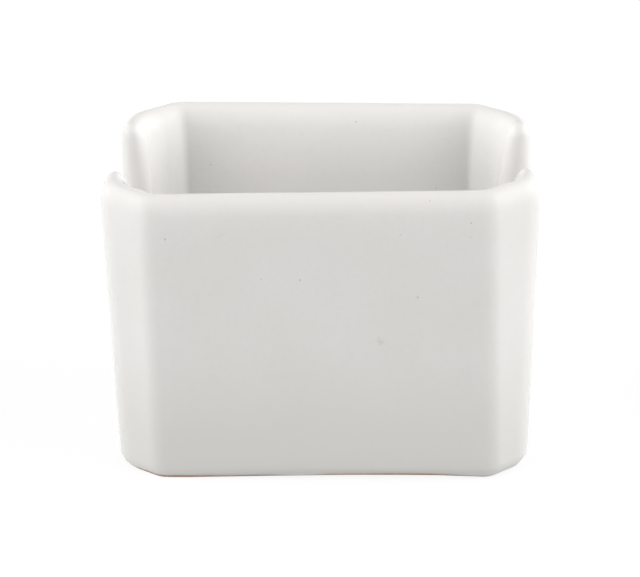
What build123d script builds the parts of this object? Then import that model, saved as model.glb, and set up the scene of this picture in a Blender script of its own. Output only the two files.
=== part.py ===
"""Sugar packet holder: an eight-sided open box of glazed china with a finger dip in each end.

Millimetres, +Z up, +X along the holder. The origin is at the middle of the foot, on the table.
The sizes are those of the glazed ware. The clay lies one glaze thickness inside them, with its edges
fettled to narrow flats, and the glaze rounds those edges and pools in the inside corners.
"""
import os
from math import acos, atan2, cos, hypot, pi, sin, tan

from build123d import *

# Outside of the glazed ware, over the flat walls at the rim
LENGTH = 88.9
WIDTH = 63.5
HEIGHT = 63.0

# How far each main wall leans in from the rim down to the table
WALL_LEAN = 2.0

# Corner panels: how much of the length and of the width each one takes at the rim, and of the length at
# the table. The panels are flat, so what they take of the width narrows in the same proportion.
PANEL_X_RIM = 10.3
PANEL_Y_RIM = 9.4
PANEL_X_FOOT = 7.3

# Roundings of the outside
EDGE_RADIUS = 6.0
FOOT_RADIUS = 3.0

# Walls, how much thicker the corner panels are at the rim, and the floor
WALL = 6.0
PANEL_EXTRA = 0.3
FLOOR = 6.0

# Roundings of the inside: the upright edges at the rim, and the floor
CAVITY_EDGE_RADIUS = 5.2
CAVITY_FLOOR_RADIUS = 2.4

# The rim is rounded on both sides, and only a narrow strip of its top stays level
RIM_FLAT = 0.3

# Finger dip in each end wall
DIP_WIDTH = 27.0
DIP_DEPTH = 21.0
DIP_FLOOR_RADIUS = 5.0

# Foot ring, and the recess inside it with its sloping sides
FOOT_RING = 6.2
RECESS_DEPTH = 1.5
RECESS_SLOPE = 1.2
RECESS_CORNER_RADIUS = 9.0

# Glaze: its thickness, and the height above the table where it stops
GLAZE = 0.35
GLAZE_LINE = 1.0

# Flats on the edges of the clay, as a share of the rounding that the glaze makes over them
CLAY_FLAT = 0.75

# How far cutting solids run past what they cut
OVERRUN = 10.0

# Two places nearer than this are the same place
SAME = 0.01

LEAN = atan2(WALL_LEAN, HEIGHT)
RIM_RADIUS = (WALL - RIM_FLAT) / 2


def between(at_rim, at_foot, height):
    """A size that changes evenly from the table to the rim, at a height."""
    return at_foot + (at_rim - at_foot) * height / HEIGHT


def flat_for(radius, turn):
    """How far from an edge of the clay its flat begins, under a rounding of the glaze over that edge."""
    return CLAY_FLAT * (radius - GLAZE) * tan(turn / 2)


def corners(height, wall, panel_wall):
    """The eight corners of the outside at a height, moved in by a thickness at walls and corner panels."""
    half_length = between(LENGTH / 2, LENGTH / 2 - WALL_LEAN, height)
    half_width = between(WIDTH / 2, WIDTH / 2 - WALL_LEAN, height)
    panel_x = between(PANEL_X_RIM, PANEL_X_FOOT, height)
    panel_y = panel_x * PANEL_Y_RIM / PANEL_X_RIM

    # The corner panel's line moves in along its own normal
    slant = hypot(panel_x, panel_y)
    normal_x = panel_y / slant
    normal_y = panel_x / slant
    reach = normal_x * (half_length - panel_x) + normal_y * half_width - panel_wall
    x_out = half_length - wall
    y_out = half_width - wall
    x_in = (reach - normal_y * y_out) / normal_x
    y_in = (reach - normal_x * x_out) / normal_y

    quarter = [(x_out, y_in), (x_in, y_out)]
    around = quarter
    around = around + [(-x, y) for x, y in reversed(quarter)]
    around = around + [(-x, -y) for x, y in quarter]
    around = around + [(x, -y) for x, y in reversed(quarter)]
    return around


def cavity_corners(height, skin):
    """The eight corners of the inside at a height: all its walls lean as the main walls do."""
    inset = WALL - skin + (HEIGHT - height) * WALL_LEAN / HEIGHT
    return corners(HEIGHT, inset, inset + PANEL_EXTRA)


def flat_sided(lower, low, upper, high):
    """The solid of flat sides between two level outlines at two heights."""
    lower = [(x, y, low) for x, y in lower]
    upper = [(x, y, high) for x, y in upper]
    sides = [[lower[i - 1], lower[i], upper[i], upper[i - 1]] for i in range(len(lower))]
    faces = [Face(Wire.make_polygon(outline)) for outline in [lower, upper] + sides]
    return Solid(Shell(faces))


def uprights(block):
    return [edge for edge in block.edges() if edge.bounding_box().size.Z > SAME]


def bottom_edges(block):
    return block.faces().sort_by(Axis.Z)[0].edges()


def outer_block(skin):
    """The leaning eight-sided block that the ware is hollowed from, a skin inside the glazed outside."""
    top = HEIGHT - skin
    return flat_sided(corners(0, skin, skin), 0, corners(top, skin, skin), top)


def recess_form(skin):
    """The shallow recess under the floor, a skin larger than the glazed recess."""
    outlines = []
    for ring in (FOOT_RING - skin, FOOT_RING - skin + RECESS_SLOPE):
        x = LENGTH / 2 - WALL_LEAN - ring
        y = WIDTH / 2 - WALL_LEAN - ring
        outlines.append([(x, y), (-x, y), (-x, -y), (x, -y)])
    recess = flat_sided(outlines[0], 0, outlines[1], RECESS_DEPTH + skin)
    return fillet(uprights(recess), RECESS_CORNER_RADIUS + skin)


def dip_forms(skin):
    """The U-shaped cuts square through both end walls, a skin larger than the glazed dips."""
    outward = (cos(LEAN), 0, -sin(LEAN))
    end_wall = Plane(origin=(LENGTH / 2, 0, HEIGHT), x_dir=(0, 1, 0), z_dir=outward)
    width = DIP_WIDTH + 2 * skin
    low = -DIP_DEPTH - skin
    profile = Pos(0, (low + OVERRUN) / 2) * Rectangle(width, OVERRUN - low)
    profile = fillet(profile.vertices().group_by(Axis.Y)[0], DIP_FLOOR_RADIUS + skin)
    dip = extrude(end_wall * profile, amount=WALL + OVERRUN, both=True)
    return dip + mirror(dip, about=Plane.YZ)


def lip_edges(holder, skin):
    """The level edges where the sides of the dips meet the top of the rim."""
    level = holder.edges().filter_by(Axis.X).group_by(Axis.Z)[-1]
    side = DIP_WIDTH / 2 + skin
    return [edge for edge in level if abs(abs(edge.center().Y) - side) < SAME]


def rim_edges(holder, skin):
    """The inner and outer edges of the rim, along the posts and down round the dips."""
    top = HEIGHT - skin
    dip_reach = DIP_WIDTH / 2 + skin
    dip_floor = HEIGHT - DIP_DEPTH - skin
    rim_faces = []
    for face in holder.faces():
        box = face.bounding_box()
        level = box.min.Z > top - SAME
        in_dip = max(-box.min.Y, box.max.Y) < dip_reach + SAME and box.max.Z > dip_floor - SAME
        through_wall = abs(face.normal_at().X) < 2 * sin(LEAN)
        if level or (in_dip and through_wall):
            rim_faces.append(face)
    edges = [edge for face in rim_faces for edge in face.edges()]
    return [edge for edge in edges if sum(edge.is_same(other) for other in edges) == 1]


def rounded_corners(points, height, radius):
    """The rounding of each corner of a level outline: where it starts, its middle, its end and its centre."""
    points = [Vector(x, y, height) for x, y in points]
    rounding = []
    for i, point in enumerate(points):
        back = (points[i - 1] - point).normalized()
        ahead = (points[(i + 1) % len(points)] - point).normalized()
        inward = (back + ahead).normalized()
        half_turn = acos(inward.dot(ahead))
        centre = point + inward * (radius / sin(half_turn))
        start = point + back * (radius / tan(half_turn))
        end = point + ahead * (radius / tan(half_turn))
        rounding.append((start, centre - inward * radius, end, centre))
    return rounding


def level_face(rounding):
    """The level face inside a rounded outline."""
    edges = []
    for i, (start, middle, end, _) in enumerate(rounding):
        edges.append(Edge.make_line(rounding[i - 1][2], start))
        edges.append(Edge.make_three_point_arc(start, middle, end))
    return Face(Wire(edges))


def cavity_form():
    """The glazed inside: flat walls that all lean alike, with a cone between each two of them."""
    mouth = HEIGHT + OVERRUN
    floor_radius = CAVITY_EDGE_RADIUS - (HEIGHT - FLOOR) * WALL_LEAN / HEIGHT
    mouth_radius = CAVITY_EDGE_RADIUS + OVERRUN * WALL_LEAN / HEIGHT
    lower = rounded_corners(cavity_corners(FLOOR, 0), FLOOR, floor_radius)
    upper = rounded_corners(cavity_corners(mouth, 0), mouth, mouth_radius)
    faces = [level_face(lower), level_face(upper)]
    for i, (start, _, end, centre) in enumerate(lower):
        before = lower[i - 1][2]
        faces.append(Face(Wire.make_polygon([before, start, upper[i][0], upper[i - 1][2]])))
        turn = (start - centre).get_angle(end - centre)
        faces.append(Face.revolve(Edge.make_line(start, upper[i][0]), turn, Axis(centre, (0, 0, 1))))
    return Solid(Shell(faces))


def glazed_form():
    """The outside of the glazed ware, filled with clay and glaze alike."""
    block = fillet(uprights(outer_block(0)), EDGE_RADIUS)
    block = fillet(bottom_edges(block), FOOT_RADIUS)
    cavity = fillet(bottom_edges(cavity_form()), CAVITY_FLOOR_RADIUS)
    holder = block - cavity - dip_forms(0) - recess_form(0)
    return fillet(lip_edges(holder, 0) + rim_edges(holder, 0), RIM_RADIUS)


def clay_form():
    """The fired clay under the glaze, down to its bare foot."""
    panel_turn = pi / 4
    rim_turn = pi / 2
    block = outer_block(GLAZE)
    block = chamfer(uprights(block), flat_for(EDGE_RADIUS, panel_turn))
    block = fillet(bottom_edges(block), FOOT_RADIUS - GLAZE)

    floor = FLOOR - GLAZE
    mouth = HEIGHT + OVERRUN
    cavity = flat_sided(cavity_corners(floor, GLAZE), floor, cavity_corners(mouth, GLAZE), mouth)
    cavity = fillet(bottom_edges(cavity), CAVITY_FLOOR_RADIUS + GLAZE)

    holder = block - cavity - dip_forms(GLAZE) - recess_form(GLAZE)
    edges = lip_edges(holder, GLAZE) + rim_edges(holder, GLAZE)
    return chamfer(edges, flat_for(RIM_RADIUS, rim_turn))


def glaze_layers(glazed, clay):
    """The glass between the glazed ware and its clay, above the glaze line: outer coat, then base patch."""
    above_line = Pos(0, 0, GLAZE_LINE) * Box(
        LENGTH + OVERRUN,
        WIDTH + OVERRUN,
        HEIGHT,
        align=(Align.CENTER, Align.CENTER, Align.MIN),
    )
    layers = (glazed & above_line) - clay
    base, coat = layers.solids().sort_by(SortBy.VOLUME)
    return coat, base


def main():
    clay = clay_form()
    coat, base = glaze_layers(glazed_form(), clay)
    os.makedirs("parts", exist_ok=True)
    pieces = {"porcelain_body": clay, "glaze_coat": coat, "base_glaze": base}
    for node, piece in pieces.items():
        export_step(piece, f"parts/{node}.step")


main()
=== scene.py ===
"""Looks of the sugar packet holder: glazed china on a white studio floor."""

import math

import bpy
import numpy as np
from mathutils import Matrix, Vector


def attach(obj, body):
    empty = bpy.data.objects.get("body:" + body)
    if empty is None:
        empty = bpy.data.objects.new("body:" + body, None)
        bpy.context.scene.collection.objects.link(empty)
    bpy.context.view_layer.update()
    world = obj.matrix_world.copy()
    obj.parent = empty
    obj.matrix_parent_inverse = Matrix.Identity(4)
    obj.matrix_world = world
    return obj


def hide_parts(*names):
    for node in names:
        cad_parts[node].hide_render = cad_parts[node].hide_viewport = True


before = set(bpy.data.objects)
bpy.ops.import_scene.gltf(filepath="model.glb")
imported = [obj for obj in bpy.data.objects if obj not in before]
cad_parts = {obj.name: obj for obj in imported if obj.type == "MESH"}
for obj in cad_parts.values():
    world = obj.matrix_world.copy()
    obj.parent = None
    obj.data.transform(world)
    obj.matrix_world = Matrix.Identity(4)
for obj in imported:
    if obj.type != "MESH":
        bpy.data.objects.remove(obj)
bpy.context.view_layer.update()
scene = bpy.context.scene

# Millimetres to metres
MM = 0.001

QUARTER_TURN = math.pi / 2

# Sizes of the glazed ware in millimetres, as in the CAD source
LENGTH = 88.9
WIDTH = 63.5
HEIGHT = 63.0
WALL_LEAN = 2.0
PANEL_X_RIM = 10.3
PANEL_Y_RIM = 9.4
PANEL_X_FOOT = 7.3
FOOT_RADIUS = 3.0
WALL = 6.0
PANEL_EXTRA = 0.3
FLOOR = 6.0
CAVITY_FLOOR_RADIUS = 2.4
DIP_WIDTH = 27.0
DIP_DEPTH = 21.0
DIP_FLOOR_RADIUS = 5.0
FOOT_RING = 6.2
RECESS_DEPTH = 1.5
RECESS_SLOPE = 1.2
RECESS_CORNER_RADIUS = 9.0
GLAZE = 0.35

# The glaze piece is a closed coat, a hair thinner than the room it has over the clay
COAT = 0.33

# Upright edges beside the end walls and beside the long walls, outside and inside
END_EDGE_RADIUS = 8.0
LONG_EDGE_RADIUS = 6.0
END_CAVITY_RADIUS = 11.0
LONG_CAVITY_RADIUS = 2.6

# No upright edge inside gets sharper than this
LEAST_RADIUS = 0.6

# Height where the glaze stops above the bare foot, and the waves round the ware that make it uneven:
# how high each one is, how many go round, and where it starts
GLAZE_LINE = 0.42
GLAZE_LINE_WAVES = ((0.1, 5, 0.8), (0.05, 13, 2.1))

# Towards the rim the walls draw in: the height where that starts, and how much it would come to at the top,
# outside and inside
DRAW_START = 54.0
DRAW = 0.45
DRAW_START_INSIDE = 50.0
DRAW_INSIDE = 1.1

# The rim's rounding: how high it is along the walls and in the dips
CROWN = 4.2
DIP_CROWN = 3.0

# Lips beside the dips: the rounding of the crest, how far under the top the lip starts, and the stretch of
# wall over which the rim's shoulder turns
LIP_RADIUS = 2.5
LIP_DROP = 6.0
LIP_SPREAD = 0.8

# How much wider the rim beside a dip is at the lip than at the dip's floor
SIDE_LEAN = 0.5

# Distances from the middle of a dip: its side, the end of its level floor, and the end of the lip's
# shoulder
DIP_HALF = DIP_WIDTH / 2
DIP_LEVEL = DIP_HALF - DIP_FLOOR_RADIUS
LIP_EDGE = DIP_HALF + DIP_CROWN + SIDE_LEAN + LIP_SPREAD

# Heights of a dip: its floor, the end of the bend up from it, and the start of the lip
DIP_BOTTOM = HEIGHT - DIP_DEPTH
BEND_TOP = DIP_BOTTOM + DIP_FLOOR_RADIUS
LIP_START = HEIGHT - LIP_DROP

# Height of the belt, from where the columns of the end wall's mesh gather round the dip
BELT = 34.0

# How far past the shoulder of the dip's side, at its lower and upper end, columns stand at the belt, and
# where the lip's last column stands there
BELT_LOWER = 0.1
BELT_UPPER = 0.8
BELT_EDGE = LIP_EDGE + 0.6

# Where the lip's last column stands when the columns are spread evenly, outside and inside
EVEN_EDGE = BELT_EDGE - 1.0
EVEN_EDGE_INSIDE = BELT_EDGE - 2.5

# Columns of the mesh in one quarter of the ware, from the middle of a dip to the middle of a long wall
DIP_FLOOR_COLUMNS = 9
DIP_CORNER_COLUMNS = 10
DIP_SIDE_COLUMNS = 9
LIP_COLUMNS = 12
POST_COLUMNS = 14
PANEL_COLUMNS = 9
CORNER_COLUMNS = 10
LONG_COLUMNS = 22

# Rows of the mesh, fine where the ware is seen and coarse where it is not, and rows of the bare foot
FINE_ROWS = {"upper": 14, "lower": 18, "foot": 8, "rim": 18, "inside": 16, "floor": 7}
COARSE_ROWS = {"upper": 4, "lower": 4, "foot": 4, "rim": 10, "inside": 4, "floor": 4}
BARE_ROWS = 5

# Kiln warp of the rim: all of it, along the length, and from corner to corner, at these distances out
WARP_LIFT = -0.56
WARP_TILT = 0.04
WARP_TWIST = -0.49
WARP_HALF_LENGTH = 44.0
WARP_HALF_WIDTH = 31.0

# Kiln warp of the back rim: how far it is sunk, and drawn in at its left and right ends, and the stretch
# towards the back over which that sets in
BACK_SINK = 0.3
BACK_IN_LEFT = 0.35
BACK_IN_RIGHT = 0.5
BACK_STRETCH = (-10.0, 25.0)

# How far the upright edge at the left of the front is moved in at the foot, and the stretches towards the
# left and the front over which that sets in
EDGE_SLANT = 1.3
EDGE_SLANT_LEFT = (20.0, 34.0)
EDGE_SLANT_FRONT = (22.0, 30.0)

# The front foot is fuller than its rounding and lifted in the middle: how much, from left to right
FOOT_STATIONS = (-40.0, -28.0, -18.0, -5.0, 8.0, 24.0, 34.0, 40.0)
FOOT_FULLNESS = (0.7, 0.75, 0.7, 0.7, 0.7, 0.7, 0.7, 0.6)
FOOT_LIFT = (0.0, 0.05, 0.2, 0.5, 0.65, 0.6, 0.3, 0.2)

# The stretches towards the front over which that sets in, and the height where the lift has died away
FULLNESS_FRONT = (14.0, 20.0)
FOOT_LIFT_FRONT = (WIDTH / 4, WIDTH / 2 - FOOT_RING)
FOOT_LIFT_TOP = 8.0

# Slow sway of the walls: the heights between which it grows, how far it goes at the end walls and at
# the long walls, and for the two waves that make each the millimetres per radian along the wall and
# upwards, and the start
SWAY_START = 3.6
SWAY_FULL = 15.6
END_SWAY = 0.05
END_SWAY_WAVES = ((4.1, 7.3, 1.3), (math.inf, 9.1, 0.4))
LONG_SWAY = 0.06
LONG_SWAY_WAVES = ((5.3, 8.7, 0.6), (17.0, 10.3, 0.0))


def between(at_rim, at_foot, height):
    """A size that changes evenly from the table to the rim, at a height."""
    return at_foot + (at_rim - at_foot) * height / HEIGHT


def blend(first, last, share):
    return first + (last - first) * share


def smooth_step(value, start, stop):
    share = np.clip((value - start) / (stop - start), 0, 1)
    return share * share * (3 - 2 * share)


def shares(count):
    """Even shares from nought, without the last one at one."""
    return np.arange(count) / count


def corner_places(height, wall, panel_wall):
    """Corner of end wall and panel, and of panel and long wall, moved in by a thickness."""
    half_length = between(LENGTH / 2, LENGTH / 2 - WALL_LEAN, height)
    half_width = between(WIDTH / 2, WIDTH / 2 - WALL_LEAN, height)
    panel_x = between(PANEL_X_RIM, PANEL_X_FOOT, height)
    panel_y = panel_x * PANEL_Y_RIM / PANEL_X_RIM
    slant = np.hypot(panel_x, panel_y)
    normal_x = panel_y / slant
    normal_y = panel_x / slant
    reach = normal_x * (half_length - panel_x) + normal_y * half_width - panel_wall
    x_out = half_length - wall
    y_out = half_width - wall
    x_in = (reach - normal_y * y_out) / normal_x
    y_in = (reach - normal_x * x_out) / normal_y
    return x_out, y_in, x_in, y_out


class Outline:
    """A quarter of the level outline at the height of each column, from the middle of the end wall."""

    def __init__(self, places, end_radius, long_radius):
        x_out, y_in, x_in, y_out = places
        self.turn = np.arctan2(x_out - x_in, y_out - y_in)
        cut_end = end_radius * np.tan(self.turn / 2)
        cut_long = long_radius * np.tan((QUARTER_TURN - self.turn) / 2)
        self.end_radius = end_radius
        self.long_radius = long_radius
        self.end_centre = (x_out - end_radius, y_in - cut_end)
        self.long_centre = (x_in - cut_long, y_out - long_radius)
        panel = np.hypot(x_out - x_in, y_out - y_in) - cut_end - cut_long
        self.end_stop = self.end_centre[1]
        self.panel_start = self.end_stop + end_radius * self.turn
        self.panel_stop = self.panel_start + panel
        self.long_start = self.panel_stop + long_radius * (QUARTER_TURN - self.turn)
        self.middle = self.long_start + self.long_centre[0]

    def heading(self, along):
        """Angle of the outward normal from +X at a distance along the outline."""
        first_bend = np.clip((along - self.end_stop) / self.end_radius, 0, self.turn)
        second_bend = np.clip((along - self.panel_stop) / self.long_radius, 0, QUARTER_TURN - self.turn)
        return first_bend + second_bend

    def point(self, along):
        angle = self.heading(along)
        near_end = along < (self.panel_start + self.panel_stop) / 2
        centre_x = np.where(near_end, self.end_centre[0], self.long_centre[0])
        centre_y = np.where(near_end, self.end_centre[1], self.long_centre[1])
        # Straight runs before, between and after the two bends
        before = np.minimum(along - self.end_stop, 0)
        after_end = np.where(near_end, np.maximum(along - self.panel_start, 0), 0)
        before_long = np.where(near_end, 0, np.minimum(along - self.panel_stop, 0))
        after_long = np.maximum(along - self.long_start, 0)
        run = before + after_end + before_long + after_long
        radius = np.where(near_end, self.end_radius, self.long_radius)
        x = centre_x + radius * np.cos(angle) - run * np.sin(angle)
        y = centre_y + radius * np.sin(angle) + run * np.cos(angle)
        return np.stack([x, y], axis=-1)


def bottom_columns():
    """Crest and shoulder of the rim along a dip's level floor and round the bend up from it."""
    columns = []
    for share in shares(DIP_FLOOR_COLUMNS):
        across = DIP_LEVEL * share
        columns.append([(across, DIP_BOTTOM), (across, DIP_BOTTOM - DIP_CROWN)])
    for share in shares(DIP_CORNER_COLUMNS):
        angle = share * QUARTER_TURN
        columns.append([
            (DIP_LEVEL + reach * math.sin(angle), BEND_TOP - reach * math.cos(angle))
            for reach in (DIP_FLOOR_RADIUS, DIP_FLOOR_RADIUS + DIP_CROWN)
        ])
    return columns


def side_columns():
    """Crest and shoulder of the rim up a dip's side."""
    columns = []
    for share in shares(DIP_SIDE_COLUMNS):
        height = blend(BEND_TOP, LIP_START, share)
        columns.append([(DIP_HALF, height), (DIP_HALF + DIP_CROWN + SIDE_LEAN * share, height)])
    return columns


def lip_columns():
    """Crest and shoulder of the rim round a lip, from the dip's side to the level top."""
    straight = LIP_DROP - LIP_RADIUS
    bend = LIP_RADIUS * QUARTER_TURN
    level = LIP_EDGE - DIP_HALF - LIP_RADIUS
    columns = []
    for share in np.arange(LIP_COLUMNS + 1) / LIP_COLUMNS:
        gone = share * (straight + bend + level)
        angle = min(max(gone - straight, 0) / LIP_RADIUS, QUARTER_TURN)
        across = DIP_HALF + LIP_RADIUS * (1 - math.cos(angle)) + max(gone - straight - bend, 0)
        height = LIP_START + min(gone, straight) + LIP_RADIUS * math.sin(angle)
        turn = share * QUARTER_TURN
        shoulder_across = LIP_EDGE - LIP_SPREAD * math.cos(turn)
        shoulder_height = LIP_START + (LIP_DROP - CROWN) * math.sin(turn)
        columns.append([(across, height), (shoulder_across, shoulder_height)])
    return columns


def belt_columns():
    """Where the columns of the dip stand at the belt: outside the dip's side, without crossing."""
    lower = DIP_HALF + DIP_CROWN + BELT_LOWER
    upper = DIP_HALF + DIP_CROWN + BELT_UPPER + SIDE_LEAN
    groups = (
        (DIP_FLOOR_COLUMNS, 0, DIP_LEVEL),
        (DIP_CORNER_COLUMNS, DIP_LEVEL, lower),
        (DIP_SIDE_COLUMNS, lower, upper),
    )
    places = [blend(start, stop, shares(count)) for count, start, stop in groups]
    places.append(np.linspace(upper, BELT_EDGE, LIP_COLUMNS + 1))
    return np.concatenate(places)


def zone_columns():
    """Zone and place in it of each column past the dip: post and corner, panel, corner, long wall."""
    zones = []
    places = []
    for zone, count in enumerate((POST_COLUMNS, PANEL_COLUMNS, CORNER_COLUMNS, LONG_COLUMNS)):
        zones += [zone] * count
        places += list(np.arange(1, count + 1) / count)
    return np.array(zones), np.array(places)


# Columns of the dip, as distances from its middle and, for crest and shoulder, heights
DIP_CREST, DIP_SHOULDER = np.array(bottom_columns() + side_columns() + lip_columns()).transpose(1, 0, 2)
DIP_COLUMNS = len(DIP_CREST)
DIP_BELT = belt_columns()
DIP_EVEN = np.linspace(0, EVEN_EDGE, DIP_COLUMNS)
DIP_EVEN_INSIDE = np.linspace(0, EVEN_EDGE_INSIDE, DIP_COLUMNS)

# Columns past the dip, and all columns of a quarter
ZONES, ZONE_SHARES = zone_columns()
QUARTER = DIP_COLUMNS + len(ZONES)

# The patches over the floor and the recess have their corners at the first column on a corner panel
PATCH_CORNER = DIP_COLUMNS + POST_COLUMNS


def along_outline(outline, dips):
    """Distance of every column along an outline, where the dip's columns have places of their own."""
    edges = (dips[-1], outline.panel_start, outline.panel_stop, outline.long_start, outline.middle)
    stops = np.array([np.broadcast_to(edge, (QUARTER,))[DIP_COLUMNS:] for edge in edges])
    index = np.arange(len(ZONES))
    start = stops[ZONES, index]
    stop = stops[ZONES + 1, index]
    return np.concatenate([dips, blend(start, stop, ZONE_SHARES)])


def drawn_in(height, start, most):
    """How far a face of the wall is drawn in at a height."""
    share = np.clip((height - start) / (HEIGHT - start), 0, None)
    return most * share * share


def outside(height, inset):
    """Outline of the outside, moved in by an inset."""
    inset = inset + drawn_in(height, DRAW_START, DRAW)
    places = corner_places(height, inset, inset)
    return Outline(places, END_EDGE_RADIUS - inset, LONG_EDGE_RADIUS - inset)


def inside(height, skin, inset):
    """Outline of the inside of a surface a skin inside the glazed one, moved in by an inset."""
    lean = (HEIGHT - height) * WALL_LEAN / HEIGHT
    inset = inset - drawn_in(height, DRAW_START_INSIDE, DRAW_INSIDE)
    wall = WALL - skin + lean + inset
    places = corner_places(HEIGHT, wall, wall + PANEL_EXTRA)
    change = skin - lean - inset
    long_radius = np.maximum(LONG_CAVITY_RADIUS + change, LEAST_RADIUS)
    return Outline(places, END_CAVITY_RADIUS + change, long_radius)


def row_on(outline, dips, height):
    """Points of every column on an outline at its height."""
    flat = outline.point(along_outline(outline, dips))
    tall = np.broadcast_to(height, (QUARTER,))
    return np.column_stack([flat, tall])


def foot_line(points):
    """Height of the glaze's uneven lower edge at each point of the outline."""
    round_ware = np.arctan2(points[:, 1], points[:, 0])
    line = np.full(len(points), GLAZE_LINE)
    for size, count, start in GLAZE_LINE_WAVES:
        line = line + size * np.sin(count * round_ware + start)
    return line


def foot_line_angle(skin):
    """Angle of the glaze's lower edge, downwards round the foot's rounding."""
    return math.asin(1 - GLAZE_LINE / (FOOT_RADIUS - skin))


def wall_columns(skin):
    """Shoulder heights of all columns and their way up to the crest, a skin inside the glazed surface."""
    shoulder = np.concatenate([DIP_SHOULDER[:, 1], np.full(len(ZONES), HEIGHT - CROWN)])
    rise = DIP_CREST - DIP_SHOULDER
    size = np.hypot(rise[:, 0], rise[:, 1])
    rise = rise * ((size - skin) / size)[:, None]
    past = np.column_stack([np.zeros(len(ZONES)), np.full(len(ZONES), CROWN - skin)])
    return shoulder, np.concatenate([rise, past])


def foot_rows(skin, angles):
    """Rows of points round the foot's rounding, at angles downwards."""
    radius = FOOT_RADIUS - skin
    rows = []
    for angle in angles:
        height = radius * (1 - math.sin(angle))
        inset = skin + radius * (1 - math.cos(angle))
        rows.append(row_on(outside(height, inset), DIP_EVEN, height))
    return rows


def outer_rows(skin, counts, shoulder):
    """Rows of points up the outside, from the foot by way of the belt to below the rim's shoulder."""
    rows = []
    for share in shares(counts["lower"]):
        height = blend(FOOT_RADIUS - skin, BELT, share)
        dips = blend(DIP_EVEN, DIP_BELT, smooth_step(share, 0, 1))
        rows.append(row_on(outside(height, skin), dips, height))
    for share in shares(counts["upper"]):
        height = blend(BELT, shoulder, share)
        dips = blend(DIP_BELT, DIP_SHOULDER[:, 0], share)
        rows.append(row_on(outside(height, skin), dips, height))
    return rows


def rim_rows(skin, angles, shoulder, rise):
    """Rows of points over the rim, at angles from its outer shoulder to its inner one."""
    dips = DIP_SHOULDER[:, 0]
    outer = row_on(outside(shoulder, skin), dips, shoulder)
    inner = row_on(inside(shoulder, skin, 0), dips, shoulder)
    # How both walls run on upwards from the shoulder, for one millimetre of height
    above = shoulder + 1
    outer_up = row_on(outside(above, skin), dips, above) - outer
    inner_up = row_on(inside(above, skin, 0), dips, above) - inner
    sideways = np.zeros((QUARTER, 3))
    sideways[:DIP_COLUMNS, 1] = 1
    centre = (outer + inner) / 2
    rows = []
    for angle in angles:
        up = blend(outer_up, inner_up, (1 - math.cos(angle)) / 2)
        crest = up * rise[:, 1:] + sideways * rise[:, :1]
        rows.append(centre + (outer - centre) * math.cos(angle) + crest * math.sin(angle))
    return rows


def inner_rows(skin, counts, shoulder):
    """Rows of points down the inside, by way of the belt and round to the edge of the level floor."""
    floor = FLOOR - skin
    radius = CAVITY_FLOOR_RADIUS + skin
    down = np.linspace(0, 1, counts["inside"] + 1)[1:]
    rows = []
    for share in down:
        height = blend(shoulder, BELT, share)
        dips = blend(DIP_SHOULDER[:, 0], DIP_BELT, share)
        rows.append(row_on(inside(height, skin, 0), dips, height))
    for share in down:
        height = blend(BELT, floor + radius, share)
        dips = blend(DIP_BELT, DIP_EVEN_INSIDE, smooth_step(share, 0, 1))
        rows.append(row_on(inside(height, skin, 0), dips, height))
    for angle in np.linspace(0, QUARTER_TURN, counts["floor"] + 1)[1:]:
        height = floor + radius * (1 - math.sin(angle))
        inset = radius * (1 - math.cos(angle))
        rows.append(row_on(inside(height, skin, inset), DIP_EVEN_INSIDE, height))
    return rows


def ware_quarter(skin, counts):
    """Rows of points over a quarter of the ware, from foot to floor, and how high on the rim each is."""
    shoulder, rise = wall_columns(skin)
    foot_angles = np.linspace(foot_line_angle(skin), 0, counts["foot"], endpoint=False)
    outer = foot_rows(skin, foot_angles) + outer_rows(skin, counts, shoulder)
    rim_angles = np.linspace(0, math.pi, counts["rim"] + 1)
    rim = rim_rows(skin, rim_angles, shoulder, rise)
    inner = inner_rows(skin, counts, shoulder)
    on_rim = [0.0] * len(outer) + list(np.sin(rim_angles)) + [0.0] * len(inner)
    return np.array(outer + rim + inner), on_rim


def whole(quarter):
    """Closed rings from rows of a quarter that run from y = 0 to x = 0."""
    last = quarter[:, 1:][:, ::-1]
    first = quarter[:, :-1]
    return np.concatenate([
        first,
        last * (-1, 1, 1),
        first * (-1, -1, 1),
        last * (1, -1, 1),
    ], axis=1)


def sway(along, up, size, waves):
    """How far a wall sways outwards: not at all at the foot, and above it as its waves multiplied."""
    out = size * np.clip((up - SWAY_START) / (SWAY_FULL - SWAY_START), 0, 1)
    for pace_along, pace_up, start in waves:
        out = out * np.sin(along / pace_along + up / pace_up + start)
    return out


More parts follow.
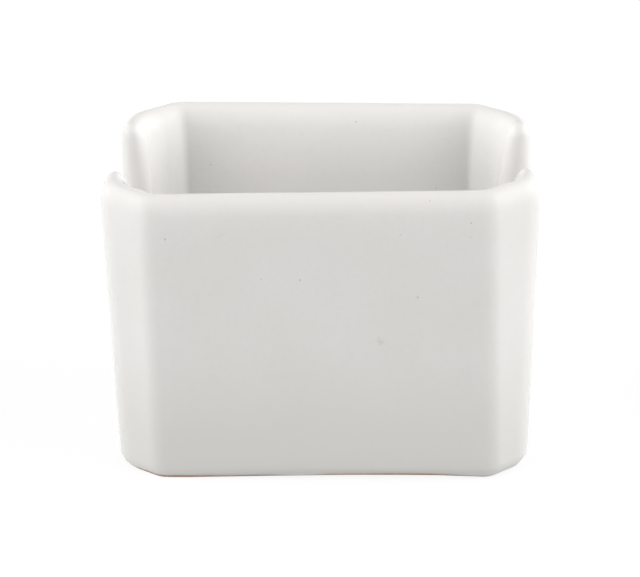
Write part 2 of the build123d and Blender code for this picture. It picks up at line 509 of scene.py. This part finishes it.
def kiln_warp(points):
    """Moves points as the firing did: rim twisted and sunk, back rim drawn in, walls slightly wavy."""
    x, y, z = points.T
    rise = z / HEIGHT
    out_x = x / WARP_HALF_LENGTH
    out_y = y / WARP_HALF_WIDTH
    at_back = smooth_step(y, *BACK_STRETCH)
    sink = rise * (WARP_LIFT + WARP_TILT * out_x + WARP_TWIST * out_x * out_y - BACK_SINK * at_back)
    narrow = rise * at_back * np.where(x < 0, BACK_IN_LEFT, BACK_IN_RIGHT) * out_x

    # The upright edge at the left of the front slants more than the others
    at_edge = smooth_step(-x, *EDGE_SLANT_LEFT) * smooth_step(-y, *EDGE_SLANT_FRONT)
    slant = EDGE_SLANT * (1 - rise) * at_edge

    # The front foot is fuller than the others and stands off the table in the middle
    rounding = np.clip(FOOT_RADIUS - z, 0, None)
    inset = FOOT_RADIUS - np.sqrt(FOOT_RADIUS ** 2 - rounding ** 2)
    fuller = np.interp(x, FOOT_STATIONS, FOOT_FULLNESS) * inset * smooth_step(-y, *FULLNESS_FRONT)
    low = np.clip(1 - z / FOOT_LIFT_TOP, 0, 1)
    lift = np.interp(x, FOOT_STATIONS, FOOT_LIFT) * low * smooth_step(-y, *FOOT_LIFT_FRONT)

    end_sway = sway(y, z, END_SWAY, END_SWAY_WAVES)
    long_sway = sway(x, z, LONG_SWAY, LONG_SWAY_WAVES)
    return np.column_stack([x + end_sway - narrow + slant, y + long_sway - fuller, z + sink + lift])


class Surface:
    """Points and faces of a mesh while it is made."""

    def __init__(self):
        self.points = []
        self.on_rim = []
        self.faces = []
        self.count = 0

    def add(self, points, on_rim=0.0):
        """Adds points, and gives their numbers in the mesh."""
        start = self.count
        self.points.append(points)
        self.on_rim.append(np.full(len(points), on_rim))
        self.count += len(points)
        return np.arange(start, self.count)

    def bridge(self, lower, upper):
        """Faces between two closed rings of equal length."""
        ahead_lower = np.roll(lower, -1)
        ahead_upper = np.roll(upper, -1)
        self.faces += np.column_stack([lower, ahead_lower, ahead_upper, upper]).tolist()

    def patch(self, ring, points):
        """A level grid of faces inside a closed ring."""
        # The four sides of the patch, each from corner to corner along the ring
        size = QUARTER - 1
        corners = [PATCH_CORNER, 2 * size - PATCH_CORNER, 2 * size + PATCH_CORNER]
        corners = corners + [4 * size - PATCH_CORNER, 4 * size + PATCH_CORNER]
        back, left, front, right = [slice(a, b + 1) for a, b in zip(corners, corners[1:])]
        ids = np.concatenate([ring, ring])
        places = np.concatenate([points, points])

        # Points of the grid, blended from those of the sides
        top, bottom = places[back][::-1], places[front]
        west, east = places[left][::-1], places[right]
        across = np.linspace(0, 1, len(top))[None, :, None]
        upward = np.linspace(0, 1, len(west))[:, None, None]
        ruled = blend(bottom[None], top[None], upward) + blend(west[:, None], east[:, None], across)
        low = blend(bottom[0], bottom[-1], across)
        high = blend(top[0], top[-1], across)
        middle = (ruled - blend(low, high, upward))[1:-1, 1:-1]

        # Numbers of the points, and the faces between them
        index = np.zeros((len(west), len(top)), dtype=int)
        index[0], index[-1] = ids[front], ids[back][::-1]
        index[:, 0], index[:, -1] = ids[left][::-1], ids[right]
        index[1:-1, 1:-1] = self.add(middle.reshape(-1, 3)).reshape(middle.shape[:2])
        quads = [index[:-1, :-1], index[:-1, 1:], index[1:, 1:], index[1:, :-1]]
        self.faces += np.stack(quads, axis=-1).reshape(-1, 4).tolist()

    def turn_over(self, start):
        """Turns the faces made since a count the other way."""
        self.faces[start:] = [face[::-1] for face in self.faces[start:]]

    def build(self, name, material):
        """Makes the warped mesh and its piece, which rides on the ware's only body."""
        points = kiln_warp(np.concatenate(self.points)) * MM
        mesh = bpy.data.meshes.new(name)
        mesh.from_pydata(points.tolist(), [], self.faces)
        mesh.polygons.foreach_set("use_smooth", np.ones(len(mesh.polygons), dtype=bool))
        layer = mesh.attributes.new("rim", "FLOAT", "POINT")
        layer.data.foreach_set("value", np.concatenate(self.on_rim).astype(np.float32))
        mesh.materials.append(material)
        mesh.update()
        piece = bpy.data.objects.new(name, mesh)
        scene.collection.objects.link(piece)
        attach(piece, "root")
        return piece


def add_ware(surface, skin, counts):
    """Adds the ware's surface a skin inside the glazed one. Gives the ring at the glaze's edge."""
    quarter, on_rim = ware_quarter(skin, counts)
    rings = whole(quarter)
    rings[0][:, 2] = foot_line(rings[0])
    ids = [surface.add(ring, share) for ring, share in zip(rings, on_rim)]
    for lower, upper in zip(ids, ids[1:]):
        surface.bridge(lower, upper)
    surface.patch(ids[-1], rings[-1])
    return ids[0], rings[0]


def make_glaze(material):
    """The coat: the glazed surface, and a face on the clay's side that is turned over."""
    coat = Surface()
    outer_edge, _ = add_ware(coat, 0.0, FINE_ROWS)
    start = len(coat.faces)
    inner_edge, _ = add_ware(coat, COAT, COARSE_ROWS)
    coat.turn_over(start)
    coat.bridge(inner_edge, outer_edge)
    piece = coat.build("glaze", material)
    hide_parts("glaze_coat")


def recess_ring(inset, height):
    """A ring of points on the rounded outline of the clay's recess under the floor."""
    x = LENGTH / 2 - WALL_LEAN - FOOT_RING + GLAZE - inset
    y = WIDTH / 2 - WALL_LEAN - FOOT_RING + GLAZE - inset
    radius = RECESS_CORNER_RADIUS + GLAZE - inset
    end = y - radius
    bend = radius * QUARTER_TURN
    total = end + bend + x - radius
    # The patch over the recess has its corner at the middle of the bend
    columns = (0, PATCH_CORNER, QUARTER - 1)
    along = np.interp(np.arange(QUARTER), columns, (0, end + bend / 2, total))
    angle = np.clip((along - end) / radius, 0, QUARTER_TURN)
    before = np.minimum(along - end, 0)
    after = np.maximum(along - end - bend, 0)
    points = np.column_stack([
        x - radius + radius * np.cos(angle) - after,
        y - radius + radius * np.sin(angle) + before,
        np.full(QUARTER, height),
    ])
    return whole(points[None])[0]


def make_clay(material):
    """The clay under the glaze, and its bare foot."""
    body = Surface()
    above, edge = add_ware(body, GLAZE, COARSE_ROWS)
    # Down the rest of the foot's rounding, as uneven as the glaze's edge, then in to the recess and up it
    angles = np.linspace(foot_line_angle(GLAZE), QUARTER_TURN, BARE_ROWS + 1)[1:]
    rounding = whole(np.array(foot_rows(GLAZE, angles)))
    rounding[:, :, 2] *= edge[:, 2] / GLAZE_LINE
    recess = [recess_ring(0.0, 0.0), recess_ring(RECESS_SLOPE, RECESS_DEPTH + GLAZE)]
    for points in list(rounding) + recess:
        ring = body.add(points)
        body.bridge(ring, above)
        above = ring
    # The ceiling of the recess faces down
    start = len(body.faces)
    body.patch(above, recess[-1])
    body.turn_over(start)
    piece = body.build("clay_body", material)
    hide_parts("porcelain_body")


# Colours of the glaze: the two tones that it drifts between, its mottle, where it is thin on the rim,
# and the painted shade that darkens it towards the foot
GLAZE_COOL = (0.79, 0.781, 0.758, 1)
GLAZE_WARM = (0.815, 0.801, 0.782, 1)
GLAZE_MOTTLE = (0.735, 0.727, 0.702, 1)
GLAZE_THIN = (0.83, 0.812, 0.79, 1)
GLAZE_PAINTED_SHADE = (0.70, 0.694, 0.667, 1)

# Heights between which the painted shade towards the foot fades out
PAINTED_SHADE_FULL_BELOW = 2.0
PAINTED_SHADE_UP_TO = 34.0

# Iron specks in the glaze: place, radius and darkness
SPECK_COLOUR = (0.24, 0.18, 0.13, 1)
SPECKS = (
    ((-30.3, -31.4, 53.5), 0.34, 0.3),
    ((-3.8, -31.2, 44.7), 0.24, 0.5),
    ((-11.5, -31.2, 44.9), 0.2, 0.25),
    ((19.6, -31.1, 41.0), 0.24, 0.5),
    ((30.1, -31.55, 56.9), 0.22, 0.5),
    ((16.2, -31.45, 54.4), 0.22, 0.25),
    ((30.0, -31.45, 53.9), 0.2, 0.25),
    ((-25.5, 25.6, 57.1), 0.24, 0.5),
    ((-25.6, 25.3, 49.3), 0.24, 0.35),
    ((25.5, 25.6, 57.8), 0.24, 0.5),
    ((26.4, 25.5, 56.3), 0.26, 0.35),
    ((23.7, 25.1, 43.8), 0.26, 0.35),
)

# An orange dot on the front rim
DOT_COLOUR = (0.72, 0.42, 0.2, 1)
DOT = (22.0, -30.8, 61.3)
DOT_RADIUS = 0.25

# A ragged brownish blemish on the front
BLEMISH_COLOUR = (0.42, 0.33, 0.27, 1)
BLEMISH = (12.1, -30.75, 31.4)
BLEMISH_RADIUS = 1.1

# A scratch on the front: its place, half its length, its depth and its width, and its slant in degrees
SCRATCH_COLOUR = (0.36, 0.35, 0.34, 1)
SCRATCH = (-19.4, -31.45, 54.2)
SCRATCH_SIZE = (1.9, 0.5, 0.11)
SCRATCH_SLANT = 20.0

# How strongly glass bends light
GLAZE_IOR = 1.5

# Colours of the bare clay: the two tones that it drifts between, and its pale grains
CLAY_DARK = (0.50, 0.29, 0.22, 1)
CLAY_PALE = (0.66, 0.44, 0.35, 1)
CLAY_GRAIN = (0.74, 0.58, 0.48, 1)

# Sockets of a Mix node that mixes colours
MIX_SHARE, MIX_FIRST, MIX_SECOND = 0, 6, 7
MIX_RESULT = 2


class Nodes:
    """Short ways to make the nodes of a tree."""

    def __init__(self, tree):
        self.tree = tree

    def put(self, node, key, value):
        """Sets an input of a node, or links it if the value comes from another node."""
        if isinstance(value, bpy.types.NodeSocket):
            self.tree.links.new(value, node.inputs[key])
        else:
            node.inputs[key].default_value = value

    def add(self, kind, inputs=None, **settings):
        node = self.tree.nodes.new(kind)
        for key, value in settings.items():
            setattr(node, key, value)
        for key, value in (inputs or {}).items():
            self.put(node, key, value)
        return node

    def object_place(self):
        return self.add("ShaderNodeTexCoord").outputs["Object"]

    def noise(self, where, scale, detail=2.0):
        node = self.add("ShaderNodeTexNoise", {"Vector": where, "Scale": scale, "Detail": detail})
        return node.outputs["Fac"]

    def ramp(self, value, low, high, to_low=0.0, to_high=1.0):
        node = self.add("ShaderNodeMapRange", {
            "Value": value, "From Min": low, "From Max": high, "To Min": to_low, "To Max": to_high,
        }, interpolation_type="SMOOTHSTEP")
        return node.outputs["Result"]

    def mix(self, share, first, second):
        inputs = {MIX_SHARE: share, MIX_FIRST: first, MIX_SECOND: second}
        return self.add("ShaderNodeMix", inputs, data_type="RGBA").outputs[MIX_RESULT]

    def maths(self, operation, *values):
        return self.add("ShaderNodeMath", dict(enumerate(values)), operation=operation).outputs[0]

    def distance(self, where, spot):
        """Distance from a spot that is given in millimetres."""
        inputs = {0: where, 1: Vector(spot) * MM}
        return self.add("ShaderNodeVectorMath", inputs, operation="DISTANCE").outputs["Value"]

    def round_mark(self, where, spot, radius, core, darkness):
        """A round mark, in millimetres, as dark as it gets in a core that is a share of its radius."""
        away = self.distance(where, spot)
        return self.ramp(away, core * radius * MM, radius * MM, to_low=darkness, to_high=0.0)

    def bump(self, height, strength, distance, normal=None):
        inputs = {"Height": height, "Strength": strength, "Distance": distance}
        if normal is not None:
            inputs["Normal"] = normal
        return self.add("ShaderNodeBump", inputs).outputs["Normal"]


def new_material(name):
    material = bpy.data.materials.new(name)
    material.use_nodes = True
    return material, Nodes(material.node_tree)


def glaze_tone(make, where):
    """Colour of the glaze without its marks, with painted shade towards the foot."""
    # Milky white with slow drifts of tone and a fine mottle
    drift = make.ramp(make.noise(where, scale=45.0), low=0.3, high=0.7)
    colour = make.mix(drift, GLAZE_COOL, GLAZE_WARM)
    mottle = make.ramp(make.noise(where, scale=800.0, detail=5.0), low=0.45, high=0.75, to_high=0.2)
    colour = make.mix(mottle, colour, GLAZE_MOTTLE)

    # Warmer where it is thin over the rim, and greyer towards the foot with painted shade
    on_rim = make.add("ShaderNodeAttribute", attribute_name="rim").outputs["Fac"]
    thin = make.ramp(on_rim, low=0.35, high=1.0, to_high=0.8)
    colour = make.mix(thin, colour, GLAZE_THIN)
    height = make.add("ShaderNodeSeparateXYZ", {"Vector": where}).outputs["Z"]
    painted_foot_shade = make.ramp(height, PAINTED_SHADE_FULL_BELOW * MM, PAINTED_SHADE_UP_TO * MM, to_low=0.8, to_high=0.0)
    return make.mix(painted_foot_shade, colour, GLAZE_PAINTED_SHADE)


def add_specks(make, where, colour):
    """Sparse iron specks everywhere, and those that the front and the inside show."""
    cells = make.add("ShaderNodeTexVoronoi", {"Vector": where, "Scale": 160.0}).outputs
    pick = make.add("ShaderNodeSeparateColor", {"Color": cells["Color"]}).outputs["Red"]
    rare = make.ramp(pick, low=0.93, high=0.935)
    round_spot = make.ramp(cells["Distance"], low=0.015, high=0.032, to_low=0.5, to_high=0.0)
    specks = make.maths("MULTIPLY", rare, round_spot)
    for spot, radius, darkness in SPECKS:
        speck = make.round_mark(where, spot, radius, core=0.4, darkness=darkness)
        specks = make.maths("MAXIMUM", specks, speck)
    return make.mix(specks, colour, SPECK_COLOUR)


def add_blemish(make, where, colour):
    """A stain whose edge a noise makes ragged."""
    radius = BLEMISH_RADIUS * MM
    edge = make.noise(where, scale=900.0, detail=3.0)
    ragged = make.ramp(edge, low=0.35, high=0.65, to_high=0.8 * radius)
    away = make.maths("ADD", make.distance(where, BLEMISH), ragged)
    stain = make.ramp(away, low=0.2 * radius, high=1.3 * radius, to_low=0.24, to_high=0.0)
    return make.mix(stain, colour, BLEMISH_COLOUR)


def add_scratch(make, where, colour):
    """A long thin ellipsoid of scratched glaze."""
    inputs = {
        "Vector": where,
        "Location": Vector(SCRATCH) * MM,
        "Rotation": (0, -math.radians(SCRATCH_SLANT), 0),
        "Scale": Vector(SCRATCH_SIZE) * MM,
    }
    in_scratch = make.add("ShaderNodeMapping", inputs, vector_type="TEXTURE").outputs["Vector"]
    away = make.distance(in_scratch, (0, 0, 0))
    scratched = make.ramp(away, low=0.4, high=1.0, to_low=0.18, to_high=0.0)
    return make.mix(scratched, colour, SCRATCH_COLOUR)


def glaze_material():
    material, make = new_material("white_glaze")
    where = make.object_place()
    colour = add_specks(make, where, glaze_tone(make, where))
    dot = make.round_mark(where, DOT, DOT_RADIUS, core=0.3, darkness=0.5)
    colour = make.mix(dot, colour, DOT_COLOUR)
    colour = add_blemish(make, where, colour)
    colour = add_scratch(make, where, colour)

    # Glossy, with patches that are a little duller, and the faint ripple of a dipped glaze
    patches = make.noise(where, scale=70.0, detail=4.0)
    dull = make.ramp(patches, low=0.3, high=0.75, to_low=0.025, to_high=0.06)
    ripple = make.bump(make.noise(where, scale=110.0), strength=0.12, distance=1.0 * MM)
    peel = make.bump(make.noise(where, scale=420.0), strength=0.05, distance=0.4 * MM, normal=ripple)

    shader = make.tree.nodes["Principled BSDF"]
    make.put(shader, "Base Color", colour)
    make.put(shader, "Roughness", dull)
    make.put(shader, "IOR", GLAZE_IOR)
    make.put(shader, "Normal", peel)
    return material


def clay_material():
    material, make = new_material("bare_clay")
    where = make.object_place()
    drift = make.ramp(make.noise(where, scale=120.0, detail=5.0), low=0.3, high=0.7)
    colour = make.mix(drift, CLAY_DARK, CLAY_PALE)
    grain = make.noise(where, scale=2200.0, detail=3.0)
    colour = make.mix(make.ramp(grain, low=0.6, high=0.75), colour, CLAY_GRAIN)

    shader = make.tree.nodes["Principled BSDF"]
    make.put(shader, "Base Color", colour)
    make.put(shader, "Roughness", make.ramp(grain, low=0.2, high=0.8, to_low=0.75, to_high=0.95))
    make.put(shader, "Normal", make.bump(grain, strength=0.5, distance=0.2 * MM))
    return material


# White floor: half its side in metres, its level a hair under the foot, so that the two do not share a
# plane, the colour that it reflects, and the colour that it shows of itself
FLOOR_HALF = 3.0
FLOOR_LEVEL = -0.02 * MM
FLOOR_COLOUR = (0.15, 0.15, 0.15, 1)
FLOOR_GLOW = (0.88, 0.88, 0.88, 1)

# Soft glows that light the ware from the surroundings: direction, level and sharpness
GLOWS = (
    ((0.956, -0.292, 0), 5.0, 5),
    ((-0.956, -0.292, 0), 6.5, 5),
    ((1, 0, 0), 1.0, 2),
    ((0, 1, 0), 1.2, 2),
)

# Colours of the surroundings and of the front lamp
WHITE = (1, 1, 1, 1)
WARM_WHITE = (1.0, 0.988, 0.962)

# What the lamps are aimed at, in metres
LAMP_AIM = (0, 0, 0.03)

# Camera, fitted to the photograph: angles in degrees, sizes in metres
CAMERA_ELEVATION = 22.0
CAMERA_YAW = 2.29
CAMERA_ROLL = -0.846
CAMERA_DISTANCE = 0.54455
CAMERA_TARGET = (-0.00106, 0.0, 0.0303)
CAMERA_NEAR = 0.01
CAMERA_FAR = 20

# Its focal length in pixels of the photograph, the photograph's width in pixels, and the sensor's width
# in millimetres
FOCAL_PIXELS = 2569.0
PHOTO_WIDTH = 640
SENSOR = 36.0


def seen_share(make):
    """One for rays from the camera and for reflections and refractions, otherwise nought."""
    path = make.add("ShaderNodeLightPath").outputs
    mirrored = make.maths("MAXIMUM", path["Is Glossy Ray"], path["Is Transmission Ray"])
    return make.maths("MAXIMUM", path["Is Camera Ray"], mirrored)


def floor_material():
    material, make = new_material("white_floor")
    make.tree.nodes.clear()
    matte = make.add("ShaderNodeBsdfDiffuse", {"Color": FLOOR_COLOUR})
    glow = make.add("ShaderNodeEmission", {"Color": FLOOR_GLOW, "Strength": seen_share(make)})
    both = make.add("ShaderNodeAddShader", {0: matte.outputs[0], 1: glow.outputs[0]})
    make.add("ShaderNodeOutputMaterial", {"Surface": both.outputs[0]})
    return material


def make_floor():
    """A white floor that takes the ware's shadow."""
    sides = ((-1, -1), (1, -1), (1, 1), (-1, 1))
    outline = [(x * FLOOR_HALF, y * FLOOR_HALF, FLOOR_LEVEL) for x, y in sides]
    mesh = bpy.data.meshes.new("studio_floor")
    mesh.from_pydata(outline, [], [(0, 1, 2, 3)])
    floor = bpy.data.objects.new("studio_floor", mesh)
    scene.collection.objects.link(floor)
    mesh.materials.append(floor_material())


def make_world():
    """Studio surroundings: white to look at and in reflections, and soft glows as a light."""
    world = bpy.data.worlds.new("studio")
    world.use_nodes = True
    make = Nodes(world.node_tree)
    direction = make.add("ShaderNodeTexCoord").outputs["Generated"]
    light = 0.0
    for towards, level, sharpness in GLOWS:
        # Brightest straight towards the glow's side, and none on the other side
        facing = make.add("ShaderNodeVectorMath", {0: direction, 1: towards}, operation="DOT_PRODUCT")
        clipped = make.maths("MAXIMUM", facing.outputs["Value"], 0.0)
        gathered = make.maths("POWER", clipped, sharpness)
        light = make.maths("MULTIPLY_ADD", gathered, level, light)
    levels = {"Value": seen_share(make), "To Min": light, "To Max": 1.0}
    strength = make.add("ShaderNodeMapRange", levels).outputs["Result"]
    back = make.tree.nodes["Background"]
    make.put(back, "Color", WHITE)
    make.put(back, "Strength", strength)
    scene.world = world


def add_lamp(name, spot, width, height, power, colour=(1, 1, 1), mirrored=True):
    """A rectangular lamp, which the glaze may mirror or not. Sizes in metres, power in watts."""
    lamp = bpy.data.lights.new(name, "AREA")
    lamp.shape = "RECTANGLE"
    lamp.size = width
    lamp.size_y = height
    lamp.energy = power
    lamp.color = colour
    holder = bpy.data.objects.new(name, lamp)
    holder.location = spot
    holder.rotation_euler = (Vector(LAMP_AIM) - Vector(spot)).to_track_quat("-Z", "Y").to_euler()
    holder.visible_glossy = mirrored
    scene.collection.objects.link(holder)


def make_lamps():
    add_lamp("softbox_right", (0.95, 0.25, 0.42), width=1.0, height=0.65, power=1.5)
    add_lamp("softbox_left", (-0.95, 0.25, 0.42), width=1.0, height=0.65, power=1.15)
    add_lamp(
        "strip_front",
        (0, -1.0, 0.22),
        width=1.0,
        height=0.3,
        power=1.1,
        colour=WARM_WHITE,
        mirrored=False,
    )


def make_camera():
    elevation = math.radians(CAMERA_ELEVATION)
    yaw = math.radians(CAMERA_YAW)
    roll = math.radians(CAMERA_ROLL)
    back = Vector((
        math.sin(yaw) * math.cos(elevation),
        -math.cos(yaw) * math.cos(elevation),
        math.sin(elevation),
    ))
    level = (-back).cross(Vector((0, 0, 1))).normalized()
    upright = level.cross(-back)
    right = level * math.cos(roll) + upright * math.sin(roll)
    up = upright * math.cos(roll) - level * math.sin(roll)
    lens = bpy.data.cameras.new("camera")
    lens.sensor_fit = "HORIZONTAL"
    lens.sensor_width = SENSOR
    lens.lens = FOCAL_PIXELS * SENSOR / PHOTO_WIDTH
    lens.clip_start = CAMERA_NEAR
    lens.clip_end = CAMERA_FAR
    camera = bpy.data.objects.new("camera", lens)
    moved = Matrix.Translation(Vector(CAMERA_TARGET) + back * CAMERA_DISTANCE)
    turned = Matrix((right, up, back)).transposed().to_4x4()
    camera.matrix_world = moved @ turned
    scene.collection.objects.link(camera)
    scene.camera = camera


make_camera()
glaze = glaze_material()
clay = clay_material()
make_glaze(glaze)
make_clay(clay)
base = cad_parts["base_glaze"]
base.data.materials.clear()
base.data.materials.append(glaze)

make_floor()
make_world()
make_lamps()
scene.view_settings.view_transform = "Standard"
